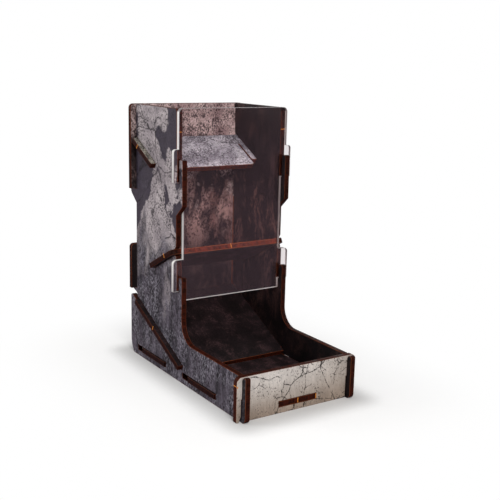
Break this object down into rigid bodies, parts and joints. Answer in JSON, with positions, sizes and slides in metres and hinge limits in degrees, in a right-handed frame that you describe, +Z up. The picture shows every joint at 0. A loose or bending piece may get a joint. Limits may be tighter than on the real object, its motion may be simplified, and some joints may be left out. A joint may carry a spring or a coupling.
{
  "type": "dice tower",
  "caption": "Knock-down dice tower of slotted flat panels: open-topped shaft with baffle ramps behind a clear lift-out window, and a low walled tray in front.",
  "frame": {"origin": "middle of the footprint's box, on the surface the tower stands on", "axes": "+Z up, +Y from the tray to the back of the shaft, +X to the right seen from the tray"},
  "size_m": [0.0802, 0.1364, 0.1592],
  "materials": {
    "printed_board_grey": "hardboard printed as weathered grey stone, satin, with burnt laser-cut edges",
    "printed_board_cream": "hardboard printed as cracked cream stone, satin, with burnt laser-cut edges",
    "printed_board_brown": "hardboard printed as stained brown stone, satin, with burnt laser-cut edges",
    "printed_board_light": "hardboard printed as pale blue-grey stone, satin, with burnt laser-cut edges",
    "printed_board_dark": "hardboard printed as dark stained stone, satin, with burnt laser-cut edges",
    "clear_acrylic": "clear cast acrylic with frosted bright edges"
  },
  "bodies": {
    "carcass": {"left_side_panel": "printed_board_grey", "right_side_panel": "printed_board_grey", "upper_ramp": "printed_board_light", "middle_ramp": "printed_board_brown", "lower_ramp": "printed_board_dark", "front_wall": "printed_board_cream"},
    "window": {"front_window": "clear_acrylic"},
    "back": {"back_panel": "printed_board_brown"},
    "tray_floor": {"floor_panel": "printed_board_dark"}
  },
  "joints": [
    {"name": "window_lift", "type": "slide", "parent": "carcass", "child": "window", "axis": [0, 0, 1], "range_m": [0, 0.0136]},
    {"name": "back_panel_lift", "type": "slide", "parent": "carcass", "child": "back", "axis": [0, 0, 1], "range_m": [0, 0.0136]},
    {"name": "floor_slide", "type": "slide", "parent": "carcass", "child": "tray_floor", "axis": [0, 1, 0], "range_m": [0, 0.0075]}
  ]
}
